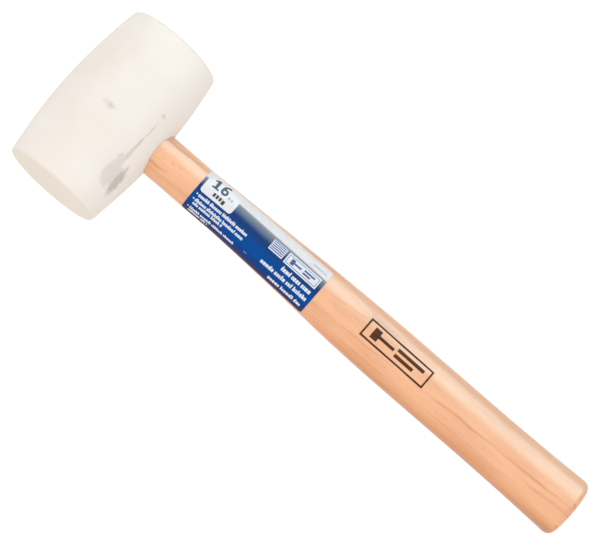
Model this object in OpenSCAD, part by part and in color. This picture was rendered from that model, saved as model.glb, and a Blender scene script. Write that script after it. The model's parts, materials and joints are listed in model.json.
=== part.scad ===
// Rubber mallet: a moulded rubber head glued onto a turned hardwood handle, with a printed film label.
// The mallet lies on a flat surface: the belly of the head and the underside of the butt touch z = 0.
// The origin is at the middle of its footprint box. +X runs from the head to the butt,
// +Y along the head to one striking face, +Z up.

/* [Head] */
// Largest diameter of the barrel-shaped head
head_d = 63; // [54:0.5:76]
// Diameter of the barrel where it would meet a striking face
face_d = 54.2; // [44:0.2:54.2]
// Length of the head from one striking face to the other
head_l = 97.5; // [80:0.5:120]
// Rounding on the rim of each striking face
rim_r = 2; // [0.5:0.1:4]

/* [Socket] */
// Thickness of rubber left between the bottom of the socket and the crown of the head
crown_t = 10; // [6:0.5:16]
// Thickness of the adhesive all round the tenon
glue_t = 0.2; // [0.1:0.05:0.5]
// Thickness of the adhesive under the end of the tenon
pool_t = 1; // [0.5:0.1:2]
// Bevel on the end of the tenon, and in the bottom corner of the socket
tenon_bevel = 2; // [1:0.1:4]

/* [Handle] */
// Overall length of the mallet, from the crown of the head to the butt
overall_l = 343; // [280:1:400]
// Diameter of the round neck and tenon
neck_d = 24.5; // [20:0.2:26]
// Width of the swell in the grip, across the striking direction
swell_w = 32.1; // [28:0.1:36]
// Extra width of the butt over the swell
flare = 2.6; // [0:0.1:5]
// Share of its width by which the grip is thinner than it is wide
flatness = 0.14; // [0:0.01:0.25]
// Rounding on the edge of the butt
butt_r = 4.6; // [1:0.1:6]

/* [Label] */
// Length of the label along the handle
label_l = 82; // [60:1:100]
// Height of the label round the handle
label_h = 32; // [20:0.5:34]
// Distance from the middle of the head to the label
label_x = 57; // [45:0.1:70]
// Turn of the label's middle from the top of the handle towards the -Y face
label_turn = 11.7; // [-20:0.1:20]
// Thickness of the printed film
label_t = 0.12; // [0.05:0.01:0.3]

/* [Hidden] */
$fn = 96;

head_r = head_d / 2;
half_l = head_l / 2;
neck_r = neck_d / 2;
butt_x = overall_l - head_r;
socket_x = crown_t - head_r;
tenon_x = socket_x + pool_t;

// The side of the barrel is one arc through its middle and both rims.
belly = (head_d - face_d) / 2;
side_r = (half_l * half_l + belly * belly) / (2 * belly);
side_c = head_r - side_r;
rim_c = side_c + sqrt(pow(side_r - rim_r, 2) - pow(half_l - rim_r, 2));
rim_a = atan2(half_l - rim_r, rim_c - side_c);

// The handle stays round as far as neck_end, swells to swell_x and flares again after flare_x.
neck_end = head_r + 20;
swell_x = head_r + 162;
flare_x = head_r + 213;
ring_n = 48;
body_step = 8.5;
butt_step = 15;

// The mallet tips until the edge of the butt is as low as the belly of the head.
butt_half_depth = half_depth(butt_x);
drop_x = butt_x - butt_r;
drop_z = butt_half_depth - butt_r;
tip = asin((head_r - butt_r) / norm([drop_x, drop_z])) - atan2(drop_z, drop_x);
reach_x = drop_x * cos(tip) + drop_z * sin(tip) + butt_r;

glue_gap = 0.03;
label_cols = 24;
label_rows = 26;
clear = 1;

function smooth(t) = let (c = min(max(t, 0), 1)) c * c * (3 - 2 * c);
function swelling(x) = smooth((x - neck_end) / (swell_x - neck_end));
function flaring(x) = pow(max(x - flare_x, 0) / (butt_x - flare_x), 2);
function half_width(x) = neck_r + (swell_w / 2 - neck_r) * swelling(x) + flare / 2 * flaring(x);
function half_depth(x) = half_width(x) * (1 - flatness * swelling(x));

// One ring of the handle's surface at x, drawn in by inset where its ends are bevelled or rounded.
function ring(x, inset = 0) = [for (i = [0 : ring_n - 1]) let (a = 360 * i / ring_n)
    [x, (half_width(x) - inset) * cos(a), (half_depth(x) - inset) * sin(a)]];

// Lays the mallet on the surface, from a frame with the head's middle at 0 and the handle along +X.
module laid() {
    translate([(head_r - reach_x) / 2, 0, head_r])
        rotate([0, tip, 0])
            children();
}

// A closed solid through rings of points, each ring a list of the same length.
module skin(rings) {
    n = len(rings[0]);
    m = len(rings);
    sides = [for (j = [0 : m - 2], i = [0 : n - 1], k = [0, 1]) let (i2 = (i + 1) % n)
        k == 0 ? [j * n + i, j * n + i2, (j + 1) * n + i2]
               : [j * n + i, (j + 1) * n + i2, (j + 1) * n + i]];
    first = [for (i = [n - 1 : -1 : 0]) i];
    last = [for (i = [0 : n - 1]) (m - 1) * n + i];
    polyhedron(points = [for (r = rings, p = r) p], faces = concat([first], sides, [last]), convexity = 4);
}

// Outline of half the head's section: a flat face, a rounded rim, the bowed side, and the same again.
function head_outline() = concat(
    [[0, -half_l]],
    [for (i = [0 : 5]) let (a = -90 + (90 - rim_a) * i / 5)
        [rim_c + rim_r * cos(a), rim_r - half_l + rim_r * sin(a)]],
    [for (i = [1 : 15]) let (a = -rim_a + 2 * rim_a * i / 16)
        [side_c + side_r * cos(a), side_r * sin(a)]],
    [for (i = [0 : 5]) let (a = rim_a + (90 - rim_a) * i / 5)
        [rim_c + rim_r * cos(a), half_l - rim_r + rim_r * sin(a)]],
    [[0, half_l]]);

// A round bar along +X from bottom_x into the open, bevelled at the bottom: the socket, or the tenon in it.
module round_bar(bar_r, bottom_x) {
    rotate([0, 90, 0])
        rotate_extrude()
            polygon([
                [0, bottom_x], [bar_r - tenon_bevel, bottom_x], [bar_r, bottom_x + tenon_bevel],
                [bar_r, head_r + clear], [0, head_r + clear]]);
}

module barrel() {
    rotate([-90, 0, 0])
        rotate_extrude()
            polygon(head_outline());
}

module rubber_head() {
    color("#F2EBE0")
        laid()
            difference() {
                barrel();
                round_bar(neck_r + glue_t, socket_x);
            }
}

module handle() {
    body_n = round((butt_x - butt_r - neck_end) / body_step);
    xs = concat([tenon_x + tenon_bevel, 0, head_r],
        [for (i = [0 : body_n]) neck_end + (butt_x - butt_r - neck_end) * i / body_n]);
    body = [for (x = xs) ring(x)];
    butt = [for (a = [butt_step : butt_step : 90])
        ring(butt_x - butt_r * (1 - sin(a)), butt_r * (1 - cos(a)))];
    color("#EDBE96")
        laid()
            skin(concat([ring(tenon_x, tenon_bevel)], body, butt));
}

module socket_adhesive() {
    color("#D8CFA8")
        laid()
            difference() {
                intersection() {
                    round_bar(neck_r + glue_t, socket_x);
                    barrel();
                }
                round_bar(neck_r, tenon_x);
            }
}

// A point on the label: x along the handle, s round it from the label's middle, out from the wood.
function label_point(x, s, out) = let (
    w = half_width(x) + out,
    d = half_depth(x) + out,
    a = 90 + label_turn + s / (PI * (w + d) / 360))
    [x, w * cos(a), d * sin(a)];

// One closed section of the film at x: up its outer side and back along its inner side.
function label_section(x) = concat(
    [for (i = [0 : label_cols]) label_point(x, label_h * (0.5 - i / label_cols), glue_gap)],
    [for (i = [label_cols : -1 : 0]) label_point(x, label_h * (0.5 - i / label_cols), glue_gap + label_t)]);

module label_film() {
    color("#1F4A94")
        laid()
            skin([for (j = [0 : label_rows]) label_section(label_x + label_l * j / label_rows)]);
}

rubber_head();
handle();
socket_adhesive();
label_film();
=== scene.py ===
"""Rubber mallet: a moulded rubber head glued onto a turned hardwood handle, with a printed film
label wrapped round the neck and an ink stamp on the grip.

Lengths are in metres. Shapes are worked out in the mallet's own axes: x runs from the middle of the
head along the handle, y along the head to the far striking face, and z up, out of the labelled side.
laid() then sets them down in the row's frame, where the mallet lies on its side.
"""

import json
import math

import bmesh
import bpy
import numpy as np
from mathutils import Matrix, Vector


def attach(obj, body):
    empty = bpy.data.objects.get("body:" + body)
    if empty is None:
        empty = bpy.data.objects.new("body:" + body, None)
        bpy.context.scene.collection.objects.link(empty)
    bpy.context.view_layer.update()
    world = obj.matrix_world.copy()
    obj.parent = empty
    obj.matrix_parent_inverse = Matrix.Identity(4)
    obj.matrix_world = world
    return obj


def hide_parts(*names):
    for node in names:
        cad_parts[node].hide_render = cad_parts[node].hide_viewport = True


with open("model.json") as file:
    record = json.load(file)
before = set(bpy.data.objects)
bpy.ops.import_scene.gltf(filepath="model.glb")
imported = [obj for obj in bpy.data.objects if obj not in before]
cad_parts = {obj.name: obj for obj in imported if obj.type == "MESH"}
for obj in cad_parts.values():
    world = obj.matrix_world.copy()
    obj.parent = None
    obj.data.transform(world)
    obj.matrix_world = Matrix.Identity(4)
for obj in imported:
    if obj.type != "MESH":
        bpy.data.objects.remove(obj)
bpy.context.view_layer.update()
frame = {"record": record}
MM = 0.001

# ---------------------------------------------------------------- the mallet's axes, from the frame

mounts = {mount["name"]: mount for mount in frame["record"]["mounts"]}
near_face, far_face, butt_face = (
    np.array(mounts[name]["pos_m"]) for name in ("face_near", "face_far", "butt_end")
)
middle = (near_face + far_face) / 2
along = np.array(mounts["butt_end"]["axis"]) / np.linalg.norm(mounts["butt_end"]["axis"])
across = np.array([0.0, 1.0, 0.0])
AXES = np.array([along, across, np.cross(along, across)])
TIP = math.atan2(-along[2], along[0])

# ---------------------------------------------------------------- sizes

HEAD_R = middle[2]
HALF_L = far_face[1]
BUTT_X = float((butt_face - middle) @ along)
FACE_R = 27.1 * MM
RIM_R = 2.0 * MM
BELLY = HEAD_R - FACE_R
SIDE_R = (HALF_L**2 + BELLY**2) / (2 * BELLY)
SIDE_C = HEAD_R - SIDE_R
RIM_C = SIDE_C + math.sqrt((SIDE_R - RIM_R) ** 2 - (HALF_L - RIM_R) ** 2)
RIM_A = math.atan2(HALF_L - RIM_R, RIM_C - SIDE_C)

NECK_R = 12.25 * MM
SOCKET_R = 12.45 * MM
CROWN_T = 10 * MM
SOCKET_X = CROWN_T - HEAD_R
TENON_X = SOCKET_X + 1 * MM
BEVEL = 2 * MM
LIP = 0.6 * MM
SWELL_R = 16.05 * MM
FLARE = 1.3 * MM
FLATNESS = 0.14
BUTT_ROUND = 4.6 * MM
BOW = 0.42 * MM
NECK_END = HEAD_R + 20 * MM
SWELL_X = HEAD_R + 162 * MM
FLARE_X = HEAD_R + 213 * MM

LABEL_X = 57 * MM
LABEL_L = 82 * MM
LABEL_TOP = -16.5 * MM
LABEL_LOW = 15.5 * MM
LABEL_TURN = math.radians(14)
FILM_LEAN = 1.6 * MM
BAND_LEAN = 1.5 * MM
FILM_LOW = 0.03 * MM
FILM_T = 0.12 * MM
INK_T = 0.02 * MM


# ---------------------------------------------------------------- shared shape functions


def laid(points):
    """Points in the mallet's axes, set down in the row's frame."""
    return middle + points @ AXES


def smooth(t):
    """0 below 0, 1 above 1, and 3t^2 - 2t^3 between them."""
    c = np.clip(t, 0, 1)
    return c * c * (3 - 2 * c)


def waves(a, b, size, seed):
    """A slow unevenness of about +-size: the sum of six sines in a and b with random slopes and phases,
    divided by 2.5, about as high as such a sum stands."""
    sines, usual_height = 6, 2.5
    draw = np.random.default_rng(seed)
    slopes_a = draw.integers(1, 5, sines)
    slopes_b = draw.uniform(-3, 3, sines)
    phases = draw.uniform(0, 6.3, sines)
    total = 0.0
    for slope_a, slope_b, phase in zip(slopes_a, slopes_b, phases):
        total = total + np.sin(slope_a * a + slope_b * b + phase)
    return size * total / usual_height


def grid_faces(index, wrap=True):
    """Quads between the rows of an index grid; wrap joins the last column to the first."""
    here = index if wrap else index[:, :-1]
    there = np.roll(index, -1, 1) if wrap else index[:, 1:]
    return np.stack([here[:-1], there[:-1], there[1:], here[1:]], -1).reshape(-1, 4)


def fan_faces(ring, pole):
    """Triangles from a closed ring of points to one pole."""
    return np.stack([ring, np.roll(ring, -1), np.full(len(ring), pole)], -1)


def capped(rings, start_x, end_x):
    """A closed shell of rings of points, with a pole on the axis at each end."""
    index = np.arange(rings[..., 0].size).reshape(rings.shape[:2])
    points = np.concatenate([rings.reshape(-1, 3), [[start_x, 0, 0], [end_x, 0, 0]]])
    start_cap = fan_faces(index[0], index.size)
    end_cap = fan_faces(index[-1], index.size + 1)
    return points, [grid_faces(index), start_cap, end_cap]


def joined(shells):
    """Several (points, faces) shells as one."""
    counts = np.cumsum([0] + [len(points) for points, _ in shells])
    points = np.concatenate([points for points, _ in shells])
    faces = [group + start for start, (_, groups) in zip(counts, shells) for group in groups]
    return points, faces


def make_piece(name, points, faces, material, replaces=(), sheet_uv=None):
    """A mesh piece from points in the mallet's axes and lists of quads or triangles, shaded smooth
    except where faces meet at more than 40 degrees, riding on the mallet's one body. sheet_uv gives
    each point its place on a printed sheet."""
    mesh = bpy.data.meshes.new(name)
    mesh.from_pydata(laid(points).tolist(), [], [face for group in faces for face in group.tolist()])
    work = bmesh.new()
    work.from_mesh(mesh)
    bmesh.ops.recalc_face_normals(work, faces=work.faces)
    work.to_mesh(mesh)
    work.free()
    if sheet_uv is not None:
        corners = np.empty(len(mesh.loops), np.int32)
        mesh.loops.foreach_get("vertex_index", corners)
        layer = mesh.uv_layers.new(name="sheet")
        layer.data.foreach_set("uv", sheet_uv[corners].astype(np.float32).ravel())
    mesh.shade_smooth()
    mesh.set_sharp_from_angle(angle=math.radians(40))
    mesh.materials.append(material)
    obj = bpy.data.objects.new(name, mesh)
    bpy.context.scene.collection.objects.link(obj)
    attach(obj, "root")
    if replaces:
        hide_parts(*replaces)
    return obj


# ---------------------------------------------------------------- materials


def linear(code, alpha=1.0):
    """An sRGB hex colour, such as "F2EBE0", as linear red, green, blue and alpha."""
    parts = [int(code[i : i + 2], 16) / 255 for i in (0, 2, 4)]
    return tuple(c / 12.92 if c <= 0.04045 else ((c + 0.055) / 1.055) ** 2.4 for c in parts) + (alpha,)


def add(tree, kind, inputs=None, stops=None, **settings):
    """Adds one node. settings are its own choices, stops the colours or greys along a ramp, and inputs
    its sockets' values, or the sockets that feed them."""
    node = tree.nodes.new(kind)
    for key, value in settings.items():
        setattr(node, key, value)
    if stops:
        ramp = node.color_ramp
        while len(ramp.elements) < len(stops):
            ramp.elements.new(1.0)
        for element, (place, colour) in zip(ramp.elements, stops):
            element.position = place
            element.color = linear(colour) if isinstance(colour, str) else (colour, colour, colour, 1)
    for key, value in (inputs or {}).items():
        if isinstance(value, bpy.types.NodeSocket):
            tree.links.new(value, node.inputs[key])
        else:
            node.inputs[key].default_value = value
    return node


def new_material(name):
    """An empty node material with its shader, and the mallet's own x, y, z as a texture coordinate."""
    material = bpy.data.materials.new(name)
    material.use_nodes = True
    tree = material.node_tree
    shader = next(n for n in tree.nodes if n.type == "BSDF_PRINCIPLED")
    coordinate = add(tree, "ShaderNodeTexCoord")
    place = add(
        tree,
        "ShaderNodeMapping",
        {
            "Vector": coordinate.outputs["Object"],
            "Location": tuple(-AXES @ middle),
            "Rotation": (0, -TIP, 0),
        },
    )
    return material, tree, shader, place.outputs["Vector"]


def marks_on(tree, place, marks, rough):
    """How strongly each spot is marked, 0 to 1: the strongest of the marks (x, y, half length in x,
    half length in y, turn in degrees, strength, softness), each an ellipse whose edge lies at 0.85 of
    its size, is as wide as the softness says, as a share of its size, and is broken up by rough."""
    edge_at = 0.85
    total = None
    for x, y, reach_x, reach_y, turn, strength, softness in marks:
        moved = add(tree, "ShaderNodeVectorMath", {0: place, 1: (x * MM, y * MM, 0)}, operation="SUBTRACT")
        turned = add(
            tree, "ShaderNodeMapping", {"Vector": moved.outputs[0], "Rotation": (0, 0, math.radians(-turn))}
        )
        local = add(
            tree,
            "ShaderNodeVectorMath",
            {0: turned.outputs[0], 1: (1 / (reach_x * MM), 1 / (reach_y * MM), 0)},
            operation="MULTIPLY",
        )
        size = add(tree, "ShaderNodeVectorMath", {0: local.outputs[0]}, operation="LENGTH")
        edge = add(tree, "ShaderNodeMath", {0: size.outputs["Value"], 1: rough}, operation="ADD")
        mark = add(
            tree,
            "ShaderNodeMapRange",
            {
                "Value": edge.outputs[0],
                "From Min": edge_at + softness / 2,
                "From Max": edge_at - softness / 2,
                "To Max": strength,
            },
            interpolation_type="SMOOTHSTEP",
        )
        if total is None:
            total = mark.outputs[0]
            continue
        stronger = add(tree, "ShaderNodeMath", {0: total, 1: mark.outputs[0]}, operation="MAXIMUM")
        total = stronger.outputs[0]
    return total


def on_upper_side(tree, place, mask):
    """A mask kept on the labelled side of the mallet, where z is above 0, and blank on the underside."""
    parts = add(tree, "ShaderNodeSeparateXYZ", {"Vector": place})
    above = add(tree, "ShaderNodeMath", {0: parts.outputs["Z"], 1: 0.0}, operation="GREATER_THAN")
    kept = add(tree, "ShaderNodeMath", {0: mask, 1: above.outputs[0]}, operation="MULTIPLY")
    return kept.outputs[0]


def stretched_noise(tree, place, sizes, detail, roughness=0.5):
    """A cloudy texture whose clouds have these sizes along x, y and z, in mm."""
    scale = tuple(1 / (size * MM) for size in sizes)
    stretched = add(tree, "ShaderNodeMapping", {"Vector": place, "Scale": scale})
    noise = add(
        tree,
        "ShaderNodeTexNoise",
        {"Vector": stretched.outputs[0], "Scale": 1.0, "Detail": detail, "Roughness": roughness},
    )
    return noise.outputs["Fac"]


def rubber_tone(tree, place):
    """The rubber's own colour: slow clouds of off-white, with fine dirt specks in them."""
    cloud = add(
        tree, "ShaderNodeTexNoise", {"Vector": place, "Scale": 1 / (30 * MM), "Detail": 3, "Roughness": 0.5}
    )
    tone = add(
        tree,
        "ShaderNodeValToRGB",
        {"Fac": cloud.outputs["Fac"]},
        stops=[(0.3, "D8CFC6"), (0.55, "DBD3CB"), (0.75, "DED7D0")],
    )
    # Dirt specks are 0.2 mm across in the real skin and drawn at 0.5 mm, so that they show.
    speck = add(
        tree, "ShaderNodeTexNoise", {"Vector": place, "Scale": 1 / (0.9 * MM), "Detail": 2, "Roughness": 0.6}
    )
    speck_mask = add(
        tree,
        "ShaderNodeMapRange",
        {"Value": speck.outputs["Fac"], "From Min": 0.66, "From Max": 0.8, "To Max": 0.25},
    )
    specked = add(
        tree,
        "ShaderNodeMix",
        {0: speck_mask.outputs[0], 6: tone.outputs["Color"], 7: linear("BEB5A8")},
        data_type="RGBA",
    )
    return specked.outputs[2]


def rubber_scuffs(tree, place, grit):
    """Where handling has greyed the head, 0 to 1: a few scuffs on its upper side, broken up by grit."""
    # x, y and half lengths in mm, turn, strength and softness.
    scuffs = [
        (-2.8, -2.4, 4.4, 1.9, 0, 0.22, 1.0),
        (-1.7, -2.7, 2.4, 1.5, 0, 0.4, 1.0),
        (21.3, 12.6, 1.5, 1.1, 0, 0.3, 1.0),
        (21.6, 3.2, 0.6, 5.0, 0, 0.3, 0.7),
        (21.1, -6.4, 0.75, 6.5, 0, 0.4, 0.6),
        (20.9, -14.0, 1.2, 6.0, 0, 0.34, 0.8),
        (19.6, -19.8, 2.6, 5.6, 8, 0.25, 0.35),
        (20.6, -27.5, 5.0, 8.0, 3, 0.27, 0.45),
        (24.9, -27.3, 2.1, 9.0, 0, 0.62, 0.7),
    ]
    rough = add(tree, "ShaderNodeMapRange", {"Value": grit, "To Min": -0.6, "To Max": 0.6})
    marked = marks_on(tree, place, scuffs, rough.outputs[0])
    return on_upper_side(tree, place, marked)


def white_rubber():
    """Non-marking white rubber, compression moulded. The blasted mould leaves it matt with a fine
    skin, and it greys a little where it has been handled."""
    material, tree, shader, place = new_material("white_rubber")
    grit = add(
        tree,
        "ShaderNodeTexNoise",
        {"Vector": place, "Scale": 1 / (2.2 * MM), "Detail": 4, "Roughness": 0.65},
    )
    scuffed = rubber_scuffs(tree, place, grit.outputs["Fac"])
    soiled = add(
        tree,
        "ShaderNodeMix",
        {0: scuffed, 6: rubber_tone(tree, place), 7: linear("968F85")},
        data_type="RGBA",
    )
    # Painted shade: the striking faces are drawn a little darker and yellower than the side.
    parts = add(tree, "ShaderNodeSeparateXYZ", {"Vector": place})
    reach = add(tree, "ShaderNodeMath", {0: parts.outputs["Y"]}, operation="ABSOLUTE")
    faced = add(
        tree,
        "ShaderNodeMapRange",
        {"Value": reach.outputs[0], "From Min": HALF_L - 2.2 * MM, "From Max": HALF_L - 0.1 * MM},
        interpolation_type="SMOOTHSTEP",
    )
    face_shade_part = add(tree, "ShaderNodeMath", {0: faced.outputs[0], 1: 0.62}, operation="MULTIPLY")
    face_shaded = add(
        tree,
        "ShaderNodeMix",
        {0: face_shade_part.outputs[0], 6: soiled.outputs[2], 7: linear("D0C5B4")},
        data_type="RGBA",
    )
    # The mould's joint runs along the side at z = 0, and dust sticks to its trimmed edge.
    height = add(tree, "ShaderNodeMath", {0: parts.outputs["Z"]}, operation="ABSOLUTE")
    joint = add(
        tree,
        "ShaderNodeMapRange",
        {"Value": height.outputs[0], "From Min": 0.6 * MM, "From Max": 0.1 * MM, "To Max": 0.22},
    )
    off_face = add(tree, "ShaderNodeMath", {0: 1.0, 1: faced.outputs[0]}, operation="SUBTRACT")
    side_joint = add(
        tree, "ShaderNodeMath", {0: joint.outputs[0], 1: off_face.outputs[0]}, operation="MULTIPLY"
    )
    finished = add(
        tree,
        "ShaderNodeMix",
        {0: side_joint.outputs[0], 6: face_shaded.outputs[2], 7: linear("B8AEA1")},
        data_type="RGBA",
    )
    tree.links.new(finished.outputs[2], shader.inputs["Base Color"])
    # The blasted skin is 0.1 mm coarse and drawn at 0.45 mm.
    skin = add(
        tree,
        "ShaderNodeTexNoise",
        {"Vector": place, "Scale": 1 / (0.45 * MM), "Detail": 3, "Roughness": 0.55},
    )
    bump = add(
        tree, "ShaderNodeBump", {"Height": skin.outputs["Fac"], "Strength": 0.35, "Distance": 0.05 * MM}
    )
    tree.links.new(bump.outputs["Normal"], shader.inputs["Normal"])
    matt = add(
        tree, "ShaderNodeMapRange", {"Value": grit.outputs["Fac"], "To Min": 0.56, "To Max": 0.74}
    )
    tree.links.new(matt.outputs[0], shader.inputs["Roughness"])
    shader.inputs["IOR"].default_value = 1.5
    shader.inputs["Specular IOR Level"].default_value = 0.25
    return material


def growth_rings(tree, place, figure):
    """How dark the growth rings are at each spot: curved layers 5.2 mm apart that run almost along the
    handle, each with a narrow dark edge that shows where the figure is strong."""
    ring = 5.2 * MM
    drift = stretched_noise(tree, place, (41.67, 16.67, 16.67), 2)
    # The tree's middle lay 83 mm to the near side and 150 mm below, and the grain runs out by 4.6 degrees.
    pith = add(
        tree,
        "ShaderNodeMapping",
        {"Vector": place, "Location": (0, 83 * MM, 150 * MM), "Rotation": (0, 0, math.radians(-4.6))},
    )
    flat = add(tree, "ShaderNodeVectorMath", {0: pith.outputs[0], 1: (0, 1, 1)}, operation="MULTIPLY")
    out = add(tree, "ShaderNodeVectorMath", {0: flat.outputs[0]}, operation="LENGTH")
    shifted = add(
        tree,
        "ShaderNodeMath",
        {0: drift, 1: 1.8 * MM, 2: out.outputs["Value"]},
        operation="MULTIPLY_ADD",
    )
    rings_out = add(
        tree, "ShaderNodeMath", {0: shifted.outputs[0], 1: 1 / ring, 2: 0.35}, operation="MULTIPLY_ADD"
    )
    phase = add(tree, "ShaderNodeMath", {0: rings_out.outputs[0]}, operation="FRACT")
    ring_tone = add(
        tree,
        "ShaderNodeValToRGB",
        {"Fac": phase.outputs[0]},
        stops=[(0.0, 0.3), (0.06, 0.1), (0.6, 0.22), (0.9, 0.4), (0.955, 1.0), (0.985, 0.9)],
    )
    shown = add(
        tree,
        "ShaderNodeMapRange",
        {"Value": figure, "From Min": 0.38, "From Max": 0.6, "To Min": 0.08, "To Max": 0.3},
    )
    return add(
        tree, "ShaderNodeMath", {0: ring_tone.outputs["Color"], 1: shown.outputs[0]}, operation="MULTIPLY"
    ).outputs[0]


def ray_flecks(tree, place):
    """Where the wood's rays show as short dark flecks, 0 to 1: the middles of stretched cells, of which
    chance leaves out about half. They are about 1 mm long and 0.1 mm wide, drawn 0.3 mm wide."""
    scale = (1 / (5 * MM), 1 / (1.7 * MM), 1 / (1.7 * MM))
    stretched = add(tree, "ShaderNodeMapping", {"Vector": place, "Scale": scale})
    cells = add(tree, "ShaderNodeTexVoronoi", {"Vector": stretched.outputs[0], "Scale": 1.0})
    fleck = add(
        tree,
        "ShaderNodeMapRange",
        {"Value": cells.outputs["Distance"], "From Min": 0.15, "From Max": 0.07, "To Max": 0.7},
    )
    chance = add(tree, "ShaderNodeSeparateColor", {"Color": cells.outputs["Color"]})
    kept = add(
        tree,
        "ShaderNodeMapRange",
        {"Value": chance.outputs["Red"], "From Min": 0.45, "From Max": 1.0, "To Max": 0.75},
    )
    return add(
        tree, "ShaderNodeMath", {0: fleck.outputs[0], 1: kept.outputs[0]}, operation="MULTIPLY"
    ).outputs[0]


def wood_streaks(tree, place, fibre):
    """Where the darkest ring edges and a few pin knots show, 0 to 1. They wander sideways by up to
    1.2 mm and break up along the fibres."""
    # x, y and half lengths in mm, turn, strength and softness.
    streaks = [
        (243, -3.4, 22, 0.8, 1.6, 0.38, 1.3),
        (284, -2.1, 25, 0.7, 2.3, 0.34, 1.3),
        (294, -5.7, 17, 0.9, 2.6, 0.28, 1.3),
        (36, 7.9, 20, 0.6, 2.0, 0.42, 1.3),
        (32, -6.9, 8, 0.8, 3.0, 0.4, 1.3),
        (34.3, -1.8, 0.8, 0.35, 0, 0.28, 1.0),
        (40.3, -0.9, 1.0, 0.4, 0, 0.36, 1.0),
        (44.3, -0.2, 0.7, 0.35, 0, 0.28, 1.0),
        (32.2, 2.6, 0.7, 0.35, 0, 0.24, 1.0),
    ]
    broken = add(tree, "ShaderNodeMapRange", {"Value": fibre, "To Min": -0.9, "To Max": 0.9})
    wander = add(tree, "ShaderNodeTexNoise", {"Vector": place, "Scale": 1 / (11 * MM), "Detail": 2})
    sideways = add(
        tree,
        "ShaderNodeMath",
        {0: wander.outputs["Fac"], 1: 2.4 * MM, 2: -1.2 * MM},
        operation="MULTIPLY_ADD",
    )
    aside = add(tree, "ShaderNodeCombineXYZ", {"Y": sideways.outputs[0]})
    wavy = add(tree, "ShaderNodeVectorMath", {0: place, 1: aside.outputs[0]}, operation="ADD")
    return marks_on(tree, wavy.outputs[0], streaks, broken.outputs[0])


def wood_colour(tree, place, tones):
    """Beech by solid texture: a slow figure with growth rings and long fibres in it. tones are its
    light, middle and dark colours. Gives the colour and the fibre texture."""
    fibre = stretched_noise(tree, place, (16, 0.7, 0.7), 4, 0.6)
    figure = stretched_noise(tree, place, (38, 7, 7), 3, 0.55)
    rings = growth_rings(tree, place, figure)
    figured = add(tree, "ShaderNodeMath", {0: figure, 1: 0.6, 2: rings}, operation="MULTIPLY_ADD")
    blend = add(
        tree, "ShaderNodeMath", {0: fibre, 1: 0.3, 2: figured.outputs[0]}, operation="MULTIPLY_ADD"
    )
    tone = add(tree, "ShaderNodeMapRange", {"Value": blend.outputs[0], "From Min": 0.3, "From Max": 1.05})
    colour = add(
        tree, "ShaderNodeValToRGB", {"Fac": tone.outputs[0]}, stops=list(zip((0.05, 0.35, 0.95), tones))
    )
    return colour.outputs["Color"], fibre


def box_distance(tree, place, centre, half):
    """How far a spot is outside a flat box in x and y, in metres: the larger of |x - cx| - hx and
    |y - cy| - hy, negative inside."""
    local = add(
        tree,
        "ShaderNodeVectorMath",
        {0: place, 1: (centre[0] * MM, centre[1] * MM, 0)},
        operation="SUBTRACT",
    )
    size = add(tree, "ShaderNodeVectorMath", {0: local.outputs[0]}, operation="ABSOLUTE")
    past = add(
        tree,
        "ShaderNodeVectorMath",
        {0: size.outputs[0], 1: (half[0] * MM, half[1] * MM, 0)},
        operation="SUBTRACT",
    )
    parts = add(tree, "ShaderNodeSeparateXYZ", {"Vector": past.outputs[0]})
    return add(
        tree, "ShaderNodeMath", {0: parts.outputs["X"], 1: parts.outputs["Y"]}, operation="MAXIMUM"
    ).outputs[0]


def stamp_mask(tree, place, fibre):
    """The ink stamp on the grip, 1 inside and 0 outside: a thin frame round a plain mallet sign and two
    bars, all of flat boxes. Its edges bleed along the fibres."""
    moved = add(
        tree, "ShaderNodeVectorMath", {0: place, 1: (189.8 * MM, 0.85 * MM, 0)}, operation="SUBTRACT"
    )
    turned = add(
        tree, "ShaderNodeMapping", {"Vector": moved.outputs[0], "Rotation": (0, 0, math.radians(0.7))}
    ).outputs[0]
    bleed = add(tree, "ShaderNodeMath", {0: fibre, 1: 0.5 * MM, 2: -0.25 * MM}, operation="MULTIPLY_ADD")
    outer = box_distance(tree, turned, (0, 0), (21.2, 5.55))
    line = 1.1 * MM
    from_line = add(tree, "ShaderNodeMath", {0: outer, 1: line / 2}, operation="ADD")
    off_line = add(tree, "ShaderNodeMath", {0: from_line.outputs[0]}, operation="ABSOLUTE")
    frame_edge = add(tree, "ShaderNodeMath", {0: off_line.outputs[0], 1: line / 2}, operation="SUBTRACT")
    nearest = frame_edge.outputs[0]
    # The sign's head, its handle and the two bars: centres and half sizes in mm.
    for centre, half in (
        ((-14.2, 0), (2.2, 3.2)),
        ((-7.2, 0), (5.0, 0.9)),
        ((8.2, 1.7), (8.8, 1.0)),
        ((5.6, -1.7), (6.2, 1.0)),
    ):
        shape = box_distance(tree, turned, centre, half)
        nearest = add(tree, "ShaderNodeMath", {0: nearest, 1: shape}, operation="MINIMUM").outputs[0]
    spread = add(tree, "ShaderNodeMath", {0: nearest, 1: bleed.outputs[0]}, operation="ADD")
    mask = add(
        tree,
        "ShaderNodeMapRange",
        {"Value": spread.outputs[0], "From Min": 0.1 * MM, "From Max": -0.14 * MM},
    )
    return on_upper_side(tree, place, mask.outputs[0])


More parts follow.
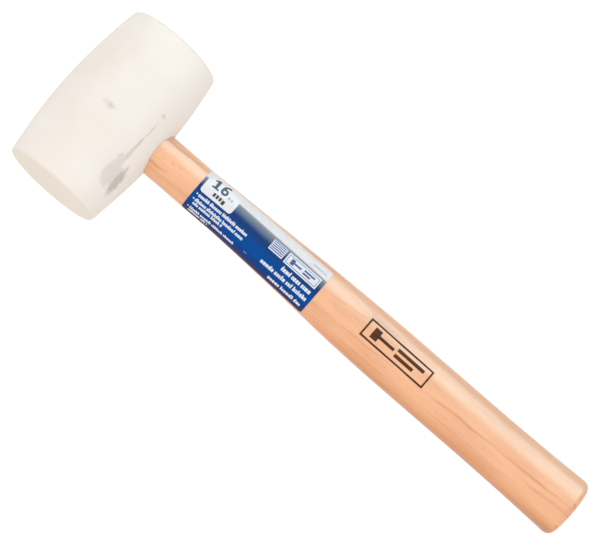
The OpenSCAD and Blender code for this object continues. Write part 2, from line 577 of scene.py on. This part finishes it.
def painted_side_shade(tree, place):
    """Painted shade across the handle: darker and browner towards the near edge, and a little
    darker and cooler towards the far edge."""
    parts = add(tree, "ShaderNodeSeparateXYZ", {"Vector": place})
    side = add(
        tree,
        "ShaderNodeMapRange",
        {"Value": parts.outputs["Y"], "From Min": -SWELL_R, "From Max": SWELL_R},
    )
    tint = add(
        tree,
        "ShaderNodeValToRGB",
        {"Fac": side.outputs[0]},
        stops=[
            (0.0, "D8C9BC"),
            (0.045, "F2DEC8"),
            (0.15, "FFFFFF"),
            (0.55, "FFFFFF"),
            (0.75, "F6F8FA"),
            (0.93, "F0F4F8"),
        ],
    )
    return tint.outputs["Color"]


def end_pores(tree, place):
    """Where the butt's end grain shows its dark pores, 0 to 1. Real ones are 0.1 mm across, and these
    are drawn at 0.8 mm."""
    parts = add(tree, "ShaderNodeSeparateXYZ", {"Vector": place})
    end = add(
        tree,
        "ShaderNodeMapRange",
        {"Value": parts.outputs["X"], "From Min": BUTT_X - 3.4 * MM, "From Max": BUTT_X - 1.8 * MM},
    )
    pores = add(tree, "ShaderNodeTexNoise", {"Vector": place, "Scale": 1 / (1.5 * MM), "Detail": 2})
    pore_tone = add(
        tree,
        "ShaderNodeMapRange",
        {"Value": pores.outputs["Fac"], "From Min": 0.53, "From Max": 0.66, "To Max": 0.5},
    )
    return add(
        tree, "ShaderNodeMath", {0: end.outputs[0], 1: pore_tone.outputs[0]}, operation="MULTIPLY"
    ).outputs[0]


def lacquered_beech():
    """Turned and sanded beech under one thin coat of clear lacquer: peach wood with soft rings and
    small dark flecks, open pores where the butt shows end grain, and a broad satin sheen."""
    material, tree, shader, place = new_material("lacquered_beech")
    colour, fibre = wood_colour(tree, place, ("DEA881", "D69E77", "B97C50"))
    flecks = ray_flecks(tree, place)
    streaks = wood_streaks(tree, place, fibre)
    dark = add(tree, "ShaderNodeMath", {0: flecks, 1: streaks}, operation="MAXIMUM").outputs[0]
    flecked = add(tree, "ShaderNodeMix", {0: dark, 6: colour, 7: linear("A4602C")}, data_type="RGBA")
    # Painted shade: the wood is drawn darker towards the handle's edges, cooler on the far side.
    edge_shaded = add(
        tree,
        "ShaderNodeMix",
        {0: 1.0, 6: flecked.outputs[2], 7: painted_side_shade(tree, place)},
        data_type="RGBA",
        blend_type="MULTIPLY",
    )
    ended = add(
        tree,
        "ShaderNodeMix",
        {0: end_pores(tree, place), 6: edge_shaded.outputs[2], 7: linear("8F5834")},
        data_type="RGBA",
    )
    ink = stamp_mask(tree, place, fibre)
    worn = add(tree, "ShaderNodeMapRange", {"Value": fibre, "To Min": 1.0, "To Max": 0.86})
    ink_depth = add(tree, "ShaderNodeMath", {0: ink, 1: worn.outputs[0]}, operation="MULTIPLY")
    stamped = add(
        tree,
        "ShaderNodeMix",
        {0: ink_depth.outputs[0], 6: ended.outputs[2], 7: linear("2E130A")},
        data_type="RGBA",
    )
    tree.links.new(stamped.outputs[2], shader.inputs["Base Color"])
    relief = add(tree, "ShaderNodeMath", {0: dark, 1: -0.6, 2: fibre}, operation="MULTIPLY_ADD")
    bump = add(
        tree, "ShaderNodeBump", {"Height": relief.outputs[0], "Strength": 0.25, "Distance": 0.05 * MM}
    )
    tree.links.new(bump.outputs["Normal"], shader.inputs["Normal"])
    satin = add(tree, "ShaderNodeMapRange", {"Value": fibre, "To Min": 0.32, "To Max": 0.46})
    tree.links.new(satin.outputs[0], shader.inputs["Roughness"])
    shader.inputs["IOR"].default_value = 1.5
    # The sheen is the lacquer's; the wood under it adds next to none.
    shader.inputs["Specular IOR Level"].default_value = 0.02
    # The ink soaks the lacquer up, so the stamp is nearly matt.
    glossy = add(tree, "ShaderNodeMapRange", {"Value": ink, "To Min": 0.72, "To Max": 0.03})
    tree.links.new(glossy.outputs[0], shader.inputs["Coat Weight"])
    shader.inputs["Coat Roughness"].default_value = 0.33
    shader.inputs["Coat IOR"].default_value = 1.5
    return material


def dried_adhesive():
    """Amber contact adhesive that squeezed out and set: glossy, a little cloudy."""
    material, tree, shader, place = new_material("dried_adhesive")
    cloud = add(
        tree, "ShaderNodeTexNoise", {"Vector": place, "Scale": 1 / (2 * MM), "Detail": 3, "Roughness": 0.5}
    )
    colour = add(
        tree,
        "ShaderNodeValToRGB",
        {"Fac": cloud.outputs["Fac"]},
        stops=[(0.3, "B89A5E"), (0.7, "D2BB86")],
    )
    tree.links.new(colour.outputs["Color"], shader.inputs["Base Color"])
    bump = add(
        tree, "ShaderNodeBump", {"Height": cloud.outputs["Fac"], "Strength": 0.4, "Distance": 0.2 * MM}
    )
    tree.links.new(bump.outputs["Normal"], shader.inputs["Normal"])
    shader.inputs["Roughness"].default_value = 0.28
    return material


def printed_film():
    """Self-adhesive polypropylene film, printed and laminated: a silver-white band that turns to
    slate and then to a blue field down the sheet, under a thin laminate that hardly shines."""
    material, tree, shader, place = new_material("printed_film")
    sheet = add(tree, "ShaderNodeUVMap", uv_map="sheet")
    parts = add(tree, "ShaderNodeSeparateXYZ", {"Vector": sheet.outputs["UV"]})
    # u runs along the sheet and v down it, both from 0 to 1, and the band leans with the upper edge.
    leaned = add(
        tree,
        "ShaderNodeMath",
        {0: parts.outputs["X"], 1: -BAND_LEAN / (LABEL_LOW - LABEL_TOP), 2: parts.outputs["Y"]},
        operation="MULTIPLY_ADD",
    )
    field = add(
        tree,
        "ShaderNodeValToRGB",
        {"Fac": leaned.outputs[0]},
        stops=[
            (0.0, "CACACA"),
            (0.1, "CFCFD0"),
            (0.213, "CBCACE"),
            (0.226, "898B90"),
            (0.25, "7D7F85"),
            (0.27, "6B7078"),
            (0.29, "656F7C"),
            (0.342, "4B5D7D"),
            (0.375, "2B4672"),
            (0.405, "123465"),
            (0.468, "003672"),
            (0.56, "003F84"),
            (0.66, "00478B"),
            (0.78, "093879"),
            (0.9, "1F2958"),
            (1.0, "232547"),
        ],
    )
    press = add(
        tree, "ShaderNodeTexNoise", {"Vector": place, "Scale": 1 / (3 * MM), "Detail": 2, "Roughness": 0.5}
    )
    shade = add(tree, "ShaderNodeMapRange", {"Value": press.outputs["Fac"], "To Min": 0.9, "To Max": 1.1})
    uneven = add(
        tree,
        "ShaderNodeVectorMath",
        {0: field.outputs["Color"], "Scale": shade.outputs[0]},
        operation="SCALE",
    )
    tree.links.new(uneven.outputs[0], shader.inputs["Base Color"])
    ripple = add(
        tree, "ShaderNodeTexNoise", {"Vector": place, "Scale": 1 / (5 * MM), "Detail": 2, "Roughness": 0.4}
    )
    bump = add(
        tree, "ShaderNodeBump", {"Height": ripple.outputs["Fac"], "Strength": 0.25, "Distance": 0.12 * MM}
    )
    tree.links.new(bump.outputs["Normal"], shader.inputs["Normal"])
    shader.inputs["Roughness"].default_value = 0.3
    shader.inputs["Specular IOR Level"].default_value = 0.06
    return material


def printing_ink(name, code):
    """Flexographic ink on the film, one colour, slightly uneven where the plate pressed less."""
    material, tree, shader, place = new_material(name)
    press = add(
        tree, "ShaderNodeTexNoise", {"Vector": place, "Scale": 1 / (1.2 * MM), "Detail": 2, "Roughness": 0.5}
    )
    shade = add(tree, "ShaderNodeMapRange", {"Value": press.outputs["Fac"], "To Min": 0.92, "To Max": 1.06})
    uneven = add(
        tree, "ShaderNodeVectorMath", {0: linear(code)[:3], "Scale": shade.outputs[0]}, operation="SCALE"
    )
    tree.links.new(uneven.outputs[0], shader.inputs["Base Color"])
    shader.inputs["Roughness"].default_value = 0.34
    shader.inputs["Specular IOR Level"].default_value = 0.2
    return material


# ---------------------------------------------------------------- the rubber head


def side_radius(y, turn):
    """Radius of the head's side at y: one long arc from rim to rim. Between the rims it is drawn in by
    0.12 mm and wanders by 0.04 mm, and at the mould's joint, where turn is 0 or half a turn, it has a
    trimmed ridge 0.08 mm high."""
    arc = SIDE_C + np.sqrt(SIDE_R**2 - y**2)
    fade = 1 - smooth((np.abs(y) / HALF_L - 0.8) / 0.15)
    ridge = 0.08 * MM * np.exp(-((arc * np.sin(turn) / (0.5 * MM)) ** 2))
    return arc + fade * (waves(turn, y / HALF_L, 0.04 * MM, 3) + ridge - 0.12 * MM)


def crown_x(y, z):
    """x of the head's side, on the handle's side, at that y and z."""
    level = np.arctan2(z, np.sqrt(np.maximum(HEAD_R**2 - z**2, 0)))
    return np.sqrt(np.maximum(side_radius(y, level) ** 2 - z**2, 0))


def barrel(cols):
    """The barrel is its outline turned about y: a flat face, a rim arc, the long side arc and the same
    again. Gives x, y and z on a grid of rows along y and columns round it."""
    side_a = np.linspace(-RIM_A, RIM_A, 159)
    rim_a = np.linspace(-math.pi / 2, -RIM_A, 9)[:-1]
    face_r = RIM_C * np.linspace(0, 1, 17)[1:-1]
    low_y = np.concatenate([np.full(len(face_r), -HALF_L), RIM_R - HALF_L + RIM_R * np.sin(rim_a)])
    low_r = np.concatenate([face_r, RIM_C + RIM_R * np.cos(rim_a)])
    turn = 2 * math.pi * np.arange(cols) / cols
    y = np.concatenate([low_y, SIDE_R * np.sin(side_a), -low_y[::-1]])[:, None] + 0 * turn
    r = np.concatenate([low_r, SIDE_C + SIDE_R * np.cos(side_a), low_r[::-1]])[:, None] + 0 * turn
    on_side = slice(len(low_y), -len(low_y))
    r[on_side] = side_radius(y[on_side], turn)
    return r * np.cos(turn), y, r * np.sin(turn)


def fitted_to_mouth(x, y, z, row, up, step):
    """The barrel's grid drawn from a square hole onto the mouth's circle, so its lines follow the mouth.
    row and up count grid lines from the middle, and step is 1 on the square's edge. A line's place on
    its square gives its turn round the mouth, and from step 1 to 2.3 circles blend into the barrel."""
    end, spread = 2.3, 0.68
    quarter = math.pi / 4
    from_y = np.where(row > 0, 0, math.pi) + np.sign(row) * up / np.maximum(np.abs(row), 1) * quarter
    from_z = np.sign(up) * (2 * quarter - row / np.maximum(np.abs(up), 1) * quarter)
    turn = np.where(np.abs(row) >= np.abs(up), from_y, from_z)
    r = (SOCKET_R + LIP) * (1 + spread * (step - 1))
    share = smooth((step - 1) / (end - 1))
    near = (step >= 1) & (step < end)
    new_y = np.where(near, (1 - share) * r * np.cos(turn) + share * y, y)
    new_z = np.where(near, (1 - share) * r * np.sin(turn) + share * z, z)
    return np.where(near, crown_x(new_y, new_z), x), new_y, new_z


def socket_rings(turn):
    """The socket as rings of points from the mouth down: a lip curved as a parabola, a straight wall, a
    bevel and a flat floor."""
    t = np.linspace(0, 1, 7)[1:, None]
    start = crown_x((SOCKET_R + LIP) * np.cos(turn), (SOCKET_R + LIP) * np.sin(turn))
    corner = crown_x(SOCKET_R * np.cos(turn), SOCKET_R * np.sin(turn))
    lip_x = (1 - t) ** 2 * start + 2 * t * (1 - t) * corner + t**2 * (corner - LIP)
    lip_r = (1 - t) ** 2 * (SOCKET_R + LIP) + (1 - (1 - t) ** 2) * SOCKET_R + 0 * lip_x
    down = np.linspace(0, 1, 22)[1:, None]
    wall_x = (1 - down) * (corner - LIP) + down * (SOCKET_X + BEVEL)
    floor_r = (SOCKET_R - BEVEL) * np.linspace(1, 0.1, 8)[:, None] + 0 * turn
    x = np.concatenate([lip_x, wall_x, SOCKET_X + 0 * floor_r])
    r = np.concatenate([lip_r, SOCKET_R + 0 * wall_x, floor_r])
    return np.stack([x, r * np.cos(turn), r * np.sin(turn)], -1)


def rubber_head():
    """The barrel with a square hole in its grid, fitted to the mouth, and the socket sewn to its edge.
    The hole is cells grid lines from its middle to each side, so 8 * cells points go round it."""
    cols, cells = 320, 20
    x, y, z = barrel(cols)
    index = np.arange(y.size).reshape(y.shape)
    mid_row = y.shape[0] // 2
    row = np.arange(y.shape[0])[:, None] - mid_row + 0 * index
    up = (np.arange(cols) + cols // 2) % cols - cols // 2 + 0 * index
    step = np.maximum(np.abs(row), np.abs(up)) / cells
    x, y, z = fitted_to_mouth(x, y, z, row, up, step)
    cell_middle = np.maximum(np.abs(row + 0.5), np.abs(up + 0.5)) / cells
    skin_faces = grid_faces(index)[(cell_middle[:-1] > 1).ravel()]

    count = 8 * cells
    k = np.arange(count)
    edge_row = np.clip(2 * cells - np.abs((k + 4 * cells) % count - 4 * cells), -cells, cells)
    edge_up = np.clip(2 * cells - np.abs((k + 2 * cells) % count - 4 * cells), -cells, cells)
    mouth = index[mid_row + edge_row, edge_up % cols]
    socket = socket_rings(2 * math.pi * k / count)
    socket_index = y.size + np.arange(socket[..., 0].size).reshape(socket.shape[:2])
    poles = y.size + socket_index.size
    points = np.concatenate(
        [
            np.stack([x, y, z], -1).reshape(-1, 3),
            socket.reshape(-1, 3),
            [[SOCKET_X, 0, 0], [0, -HALF_L, 0], [0, HALF_L, 0]],
        ]
    )
    faces = [
        skin_faces,
        grid_faces(np.concatenate([mouth[None], socket_index])),
        fan_faces(socket_index[-1], poles),
        fan_faces(index[0], poles + 1),
        fan_faces(index[-1], poles + 2),
    ]
    used = np.unique(np.concatenate([face.ravel() for face in faces]))
    renumber = np.zeros(len(points), int)
    renumber[used] = np.arange(len(used))
    return points[used], [renumber[face] for face in faces]


# ---------------------------------------------------------------- the handle and the adhesive


def handle_radii(x):
    """Half width and half depth of the handle at x: a round neck, an oval swell, a flare at the butt."""
    swelling = smooth((x - NECK_END) / (SWELL_X - NECK_END))
    flaring = (np.maximum(x - FLARE_X, 0) / (BUTT_X - FLARE_X)) ** 2
    width = NECK_R + (SWELL_R - NECK_R) * swelling + FLARE * flaring
    return width, width * (1 - FLATNESS * swelling)


def handle_bow(x):
    """How far the turned handle strays to the far side: it sets in between 55 and 80 mm, stays at BOW,
    and dies out between 125 and 165 mm."""
    setting_in = smooth((x - 55 * MM) / (25 * MM))
    dying_out = smooth((x - 125 * MM) / (40 * MM))
    return BOW * setting_in * (1 - dying_out)


def on_handle(x, turn, out):
    """The spot at x, turned from the top towards the near face, and out from the wood."""
    width, depth = handle_radii(x)
    return np.stack(
        [x + 0 * turn, handle_bow(x) - (width + out) * np.sin(turn), (depth + out) * np.cos(turn)], -1
    )


def handle():
    """Rings of the handle's oval from the bevelled end of the tenon to the butt, whose edge is a
    quarter circle; both ends are closed by rings that shrink to the middle. The grip is sanded by
    hand, so its surface lies 0.05 mm further in, give or take 0.04 mm."""
    turn = 2 * math.pi * np.arange(160) / 160
    shrink = np.linspace(1, 0, 12)[1:-1]
    body_x = np.linspace(HEAD_R, BUTT_X - BUTT_ROUND, 280)
    edge_a = np.linspace(0, math.pi / 2, 13)[1:]
    x = np.concatenate(
        [
            np.full(len(shrink) + 1, TENON_X),
            np.linspace(TENON_X + BEVEL, HEAD_R, 14)[:-1],
            body_x,
            BUTT_X - BUTT_ROUND * (1 - np.sin(edge_a)),
            np.full(len(shrink), BUTT_X),
        ]
    )[:, None]
    inset = np.concatenate(
        [
            np.full(len(shrink) + 1, BEVEL),
            np.zeros(13 + len(body_x)),
            BUTT_ROUND * (1 - np.cos(edge_a)),
            np.full(len(shrink), BUTT_ROUND),
        ]
    )[:, None]
    share = np.concatenate([shrink[::-1], np.ones(14 + len(body_x) + len(edge_a)), shrink])[:, None]
    width, depth = handle_radii(x)
    sanded = (waves(turn, x / (60 * MM), 0.04 * MM, 8) - 0.05 * MM) * smooth((x - HEAD_R) / (20 * MM))
    rings = np.stack(
        [
            x + 0 * turn,
            handle_bow(x) + share * (width - inset + sanded) * np.cos(turn),
            share * (depth - inset + sanded) * np.sin(turn),
        ],
        -1,
    )
    return capped(rings, TENON_X, BUTT_X)


def socket_adhesive():
    """A cup of adhesive between tenon and socket: its outer wall and floor follow the socket, its
    inner wall and floor the tenon. At the mouth it ends in a narrow hollow bead of uneven height,
    0.22 mm on average, which rises towards the tenon as the square of the way."""
    turn = 2 * math.pi * np.arange(200) / 200
    gap = 0.004 * MM
    outer, inner = SOCKET_R - gap, NECK_R + gap
    bead_r = SOCKET_R + 0.3 * LIP
    rim = crown_x(bead_r * np.cos(turn), bead_r * np.sin(turn)) - 0.3 * LIP
    high = (0.22 + waves(turn, 0 * turn, 0.22, 11)) * MM
    way = np.linspace(0, 1, 6)[:, None]
    wide = np.array([0.2, 0.6, 1])[:, None]
    wall_top = rim.min() - LIP
    out_x = np.linspace(SOCKET_X + BEVEL, wall_top, 10)[:-1, None]
    in_x = np.linspace(wall_top, TENON_X + BEVEL, 10)[:, None]
    bands = [
        (SOCKET_X + gap + 0 * wide, (outer - BEVEL) * wide),
        (out_x, outer),
        (rim[None] - LIP, outer),
        (rim + high * way**2, bead_r + (inner - bead_r) * way),
        (in_x, inner),
        (TENON_X - gap + 0 * wide, (inner - BEVEL) * wide[::-1]),
    ]
    x = np.concatenate([band_x + 0 * turn for band_x, band_r in bands])
    r = np.concatenate([band_r + 0 * band_x + 0 * turn for band_x, band_r in bands])
    rings = np.stack([x, r * np.cos(turn), r * np.sin(turn)], -1)
    return capped(rings, SOCKET_X + gap, TENON_X - gap)


# ---------------------------------------------------------------- the label and its print


def label_spot(flat, out):
    """Places on the label, x along the handle and s round it from the label's middle line, at a
    height out from the wood. s is an arc length at the oval's mean radius. One small crease, a bell
    curve in x and s, lifts the film by 0.12 mm."""
    x, s = flat[..., 0], flat[..., 1]
    width, depth = handle_radii(x)
    turn = LABEL_TURN + s / ((width + depth) / 2)
    crease = np.exp(-(((x - 97.8 * MM) / (1.6 * MM)) ** 2) - ((s - 8.5 * MM) / (0.7 * MM)) ** 2)
    return on_handle(x, turn, out + 0.12 * MM * crease)


def slab(flat, low, high):
    """A thin closed shell over a flat grid of (x, s) places on the label, from height low to high."""
    index = np.arange(flat[..., 0].size).reshape(flat.shape[:2])
    edge = np.concatenate([index[0, :-1], index[:-1, -1], index[-1, :0:-1], index[:0:-1, 0]])
    points = np.concatenate([label_spot(flat, low).reshape(-1, 3), label_spot(flat, high).reshape(-1, 3)])
    top = grid_faces(index, wrap=False) + index.size
    sides = grid_faces(np.stack([edge, edge + index.size]))
    return points, [grid_faces(index, wrap=False)[:, ::-1], top, sides]


def patch(x0, x1, s0, s1, round_top=0.0, round_low=0.0, step=2.0):
    """Flat grid of a rectangle in mm, with its top or lower corners rounded: each column is drawn in
    by the corner circle's height there."""
    corner = max(round_top, round_low)
    bend = corner * (1 - np.cos(np.linspace(0, math.pi / 2, 7)))[:-1] if corner else np.zeros(0)
    inner = np.linspace(x0 + corner, x1 - corner, max(2, int((x1 - x0) / step) + 1))
    x = np.concatenate([x0 + bend, inner, (x1 - bend)[::-1]])
    short = corner - np.minimum(np.minimum(x - x0, x1 - x), corner)
    insets = [
        radius - np.sqrt(np.maximum(radius**2 - (short * radius / max(corner, 1e-9)) ** 2, 0))
        for radius in (round_top, round_low)
    ]
    rows = np.linspace(0, 1, int((s1 - s0) / 0.5) + 3)
    top, low = s0 + insets[0], s1 - insets[1]
    s = top[:, None] + (low - top)[:, None] * rows
    return np.stack([x[:, None] + 0 * s, s], -1) * MM


def stroke(x, s, width):
    """Flat grid of a band of that width along a line of places in mm."""
    line = np.stack([x, s], -1)
    run = np.gradient(line, axis=0)
    run /= np.linalg.norm(run, axis=1, keepdims=True)
    side = np.stack([-run[:, 1], run[:, 0]], -1) * np.asarray(width).reshape(-1, 1) / 2
    return np.stack([line - side, line, line + side], 1) * MM


def filler_row(x0, x1, s, height, seed, rise=0.42):
    """A row of blocks that stands in for print, from x0 to x1 mm: words of 3 to 8 blocks, each as wide
    as a letter of that height, some with a narrow riser at one side. It says nothing."""
    draw = np.random.default_rng(seed)
    shapes = []
    x = x0
    left = draw.integers(3, 9)
    while x < x1 - 0.4 * height:
        end = min(x + height * draw.uniform(0.5, 0.9), x1)
        shapes.append(patch(x, end, s - height / 2, s + height / 2, step=2.5))
        if draw.random() < 0.36:
            wide = 0.36 * height
            start = x if draw.random() < 0.6 else end - wide
            shapes.append(patch(start, start + wide, s - height * (0.5 + rise), s - height / 2, step=2.5))
        left -= 1
        x = end + height * (0.55 if left == 0 else 0.13)
        left = draw.integers(3, 9) if left == 0 else left
    return shapes


def numeral_strokes():
    """The weight numeral 16 in plain strokes: a stem with a flag and a foot, and a loop with a tail."""
    top, low, ones = -13.1, -6.5, 1.7
    a = np.linspace(0, 2 * math.pi, 41)
    b = np.linspace(math.radians(180), math.radians(288), 20)
    return [
        stroke(np.full(8, 64.6), np.linspace(top, low, 8), ones),
        stroke(np.linspace(62.4, 64.7, 5), np.linspace(top + 1.9, top + 0.5, 5), 1.1),
        stroke(np.linspace(62.5, 66.7, 6), np.full(6, low - 0.5), 1.0),
        stroke(69.6 + 1.5 * np.cos(a), low - 2.2 + 1.5 * np.sin(a), 1.35),
        stroke(70.9 + 2.8 * np.cos(b), low - 2.4 + 4.1 * np.sin(b), 1.35),
    ]


def print_pieces(white, dark, faint, grey, blue):
    """Everything printed on the film, as thin closed shells: rows of blocks for the words, the tab
    behind the numeral, the plain panels at the right, and a painted highlight along the crease."""
    film = FILM_LOW + FILM_T
    low = film - 0.004 * MM

    def piece(name, shapes, layer, material):
        """One piece of print from flat shapes, as many ink layers high as layer says."""
        high = film + layer * INK_T
        points, faces = joined([slab(shape, low, high) for shape in shapes])
        make_piece(name, points, faces, material)

    piece("label_tab", [patch(58.8, 79.1, -14.5, -1.05, round_low=1.7, step=1.5)], 1, grey)
    small_rows = [(92.5, 1.1), (92.5, 4.1), (79.8, 6.35), (90.0, 9.95), (73.2, 12.2)]
    large_rows = [(116.9, 136.2, 1.7), (106.2, 136.8, 5.85), (114.2, 136.2, 10.85)]
    words = []
    for seed, (x1, s) in enumerate(small_rows):
        words += filler_row(60.5, x1, s + 0.2, 1.35, 40 + seed)
    for seed, (x0, x1, s) in enumerate(large_rows):
        words += filler_row(x0, x1, s + 0.25, 1.8, 60 + seed)
    words += [patch(59.0, 59.8, s - 0.4, s + 0.4) for s in (1.1, 4.15, 9.95)]
    piece("label_words", words, 1, white)
    panel = [patch(115.1, 136.6, -7.05, -0.95, step=1.5), patch(104.8, 113.7, -7.1, -1.3, step=1.5)]
    piece("label_panels", panel, 1, white)
    edge = [
        patch(115.9, 135.8, -6.35, -6.05),
        patch(115.9, 135.8, -1.95, -1.65),
        patch(115.9, 116.2, -6.05, -1.95),
        patch(135.5, 135.8, -6.05, -1.95),
    ]
    sign = [patch(118.2, 120.4, -5.5, -2.5), patch(120.4, 125.0, -4.45, -3.55)]
    sign += [patch(126.6, 133.6, -5.2, -4.3), patch(126.6, 131.4, -3.7, -2.8)]
    piece("label_sign", edge + sign, 2, blue)
    bars = [patch(105.2, 113.3, s, s + 0.55) for s in (-6.75, -5.7, -4.65, -3.6, -2.55)]
    piece("label_badge_bars", bars, 2, blue)
    piece("label_numeral", numeral_strokes(), 2, dark)
    weight = [patch(x, x + 1.35, -4.9, -2.8) for x in (65.8, 67.7, 69.6)] + [patch(71.5, 73.2, -4.5, -2.2)]
    piece("label_weight_bars", weight, 2, dark)
    unit = [patch(72.8, 74.2, -8.2, -6.4), patch(74.7, 75.9, -8.2, -6.4), patch(76.6, 77.0, -6.8, -6.4)]
    # Painted highlight: a light line along the film's crease, drawn in the faint grey ink.
    crease_highlight = [stroke(np.array([96.3, 97.4, 98.4]), np.array([8.5, 9.0, 8.6]), 0.3)]
    piece("label_unit_marks_and_crease_highlight", unit + crease_highlight + filler_row(128.2, 136.8, -10.7, 1.15, 73, rise=0.0), 2, faint)


def label_film():
    """The film: a sheet with rounded corners laid on the wood, its top edge leaning by FILM_LEAN along
    its length, and its own u and v for the print."""
    flat = patch(LABEL_X / MM, (LABEL_X + LABEL_L) / MM, LABEL_TOP / MM, LABEL_LOW / MM, 1.5, 1.5, step=0.8)
    u = (flat[..., 0] - LABEL_X) / LABEL_L
    flat[..., 1] += FILM_LEAN * u * (LABEL_LOW - flat[..., 1]) / (LABEL_LOW - LABEL_TOP)
    v = (flat[..., 1] - LABEL_TOP) / (LABEL_LOW - LABEL_TOP)
    points, faces = slab(flat, FILM_LOW, FILM_LOW + FILM_T)
    return points, faces, np.tile(np.stack([u, v], -1).reshape(-1, 2), (2, 1))


# ---------------------------------------------------------------- camera, floor and lights


def set_camera():
    """Looks down on the mallet, leaning 11 degrees to the near side, and rolled so that the handle
    runs to the lower right."""
    camera = bpy.data.objects.new("camera", bpy.data.cameras.new("camera"))
    bpy.context.scene.collection.objects.link(camera)
    camera.data.lens = 152.7
    camera.data.sensor_width = 36
    camera.data.clip_end = 20
    turn = (
        Matrix.Rotation(math.radians(14.48), 4, "Z")
        @ Matrix.Rotation(math.radians(10.96), 4, "X")
        @ Matrix.Rotation(math.radians(26.11), 4, "Z")
    )
    aim = Vector((-14.72, 1.93, 25.19)) * MM
    back = turn @ Vector((0, 0, 1311.5 * MM))
    camera.matrix_world = Matrix.Translation(aim + back) @ turn
    bpy.context.scene.camera = camera


def set_stage():
    """A matt floor that glows like a light table, so that hardly any shadow falls on it, and a white
    surround that is brighter overhead than at the sides."""
    size = 6.0
    mesh = bpy.data.meshes.new("floor")
    corners = [(-size, -size, 0), (size, -size, 0), (size, size, 0), (-size, size, 0)]
    mesh.from_pydata(corners, [], [(0, 1, 2, 3)])
    floor = bpy.data.objects.new("floor", mesh)
    bpy.context.scene.collection.objects.link(floor)
    material = bpy.data.materials.new("pale_floor")
    material.use_nodes = True
    shader = next(n for n in material.node_tree.nodes if n.type == "BSDF_PRINCIPLED")
    shader.inputs["Base Color"].default_value = (0.4, 0.4, 0.4, 1)
    shader.inputs["Roughness"].default_value = 0.9
    shader.inputs["Specular IOR Level"].default_value = 0.1
    shader.inputs["Emission Color"].default_value = (1, 1, 1, 1)
    shader.inputs["Emission Strength"].default_value = 0.78
    mesh.materials.append(material)
    world = bpy.data.worlds.new("surround")
    world.use_nodes = True
    tree = world.node_tree
    background = tree.nodes["Background"]
    background.inputs["Color"].default_value = (1, 1, 1, 1)
    direction = add(tree, "ShaderNodeTexCoord")
    parts = add(tree, "ShaderNodeSeparateXYZ", {"Vector": direction.outputs["Generated"]})
    level = add(tree, "ShaderNodeMapRange", {"Value": parts.outputs["Z"], "To Min": 0.86, "To Max": 1.12})
    tree.links.new(level.outputs[0], background.inputs["Strength"])
    bpy.context.scene.world = world
    bpy.context.scene.view_settings.view_transform = "Standard"


def add_softbox(name, towards, distance, size, power, colour=(1, 1, 1), sheen_only=False):
    """A rectangular area light of that colour that faces the middle of the mallet from that direction.
    sheen_only shows it in glossy surfaces without lighting the matt ones."""
    lamp = bpy.data.lights.new(name, "AREA")
    lamp.shape = "RECTANGLE"
    lamp.size, lamp.size_y = size
    lamp.energy = power
    lamp.color = colour
    obj = bpy.data.objects.new(name, lamp)
    bpy.context.scene.collection.objects.link(obj)
    direction = Vector(towards).normalized()
    turn = direction.to_track_quat("Z", "Y").to_matrix().to_4x4()
    obj.matrix_world = Matrix.Translation(direction * distance + Vector((0, 0, 0.02))) @ turn
    obj.visible_diffuse = not sheen_only


# ---------------------------------------------------------------- the mallet, put together

set_camera()
set_stage()
# The cool softbox evens out the wood's own warmth in its sheen.
add_softbox("sheen_softbox", (0.05, 0.84, 0.54), 1.6, (2.8, 1.6), 112, (0.45, 0.86, 1), sheen_only=True)
add_softbox("top_softbox", (-0.05, -0.2, 0.95), 2.2, (1.6, 1.6), 15)

beech = lacquered_beech()
points, faces = rubber_head()
make_piece("rubber_head_moulding", points, faces, white_rubber(), ("rubber_head",))
points, faces = handle()
make_piece("turned_handle", points, faces, beech, ("handle",))
points, faces = socket_adhesive()
make_piece("adhesive_cup", points, faces, dried_adhesive(), ("socket_adhesive",))
points, faces, sheet_uv = label_film()
make_piece("label_sheet", points, faces, printed_film(), ("label_film",), sheet_uv)
print_pieces(
    printing_ink("white_ink", "CBCDD2"),
    printing_ink("dark_grey_ink", "313235"),
    printing_ink("faint_grey_ink_and_crease_highlight", "A2A2A6"),
    printing_ink("silver_ink", "CFCDCF"),
    printing_ink("blue_ink", "3A4F86"),
)
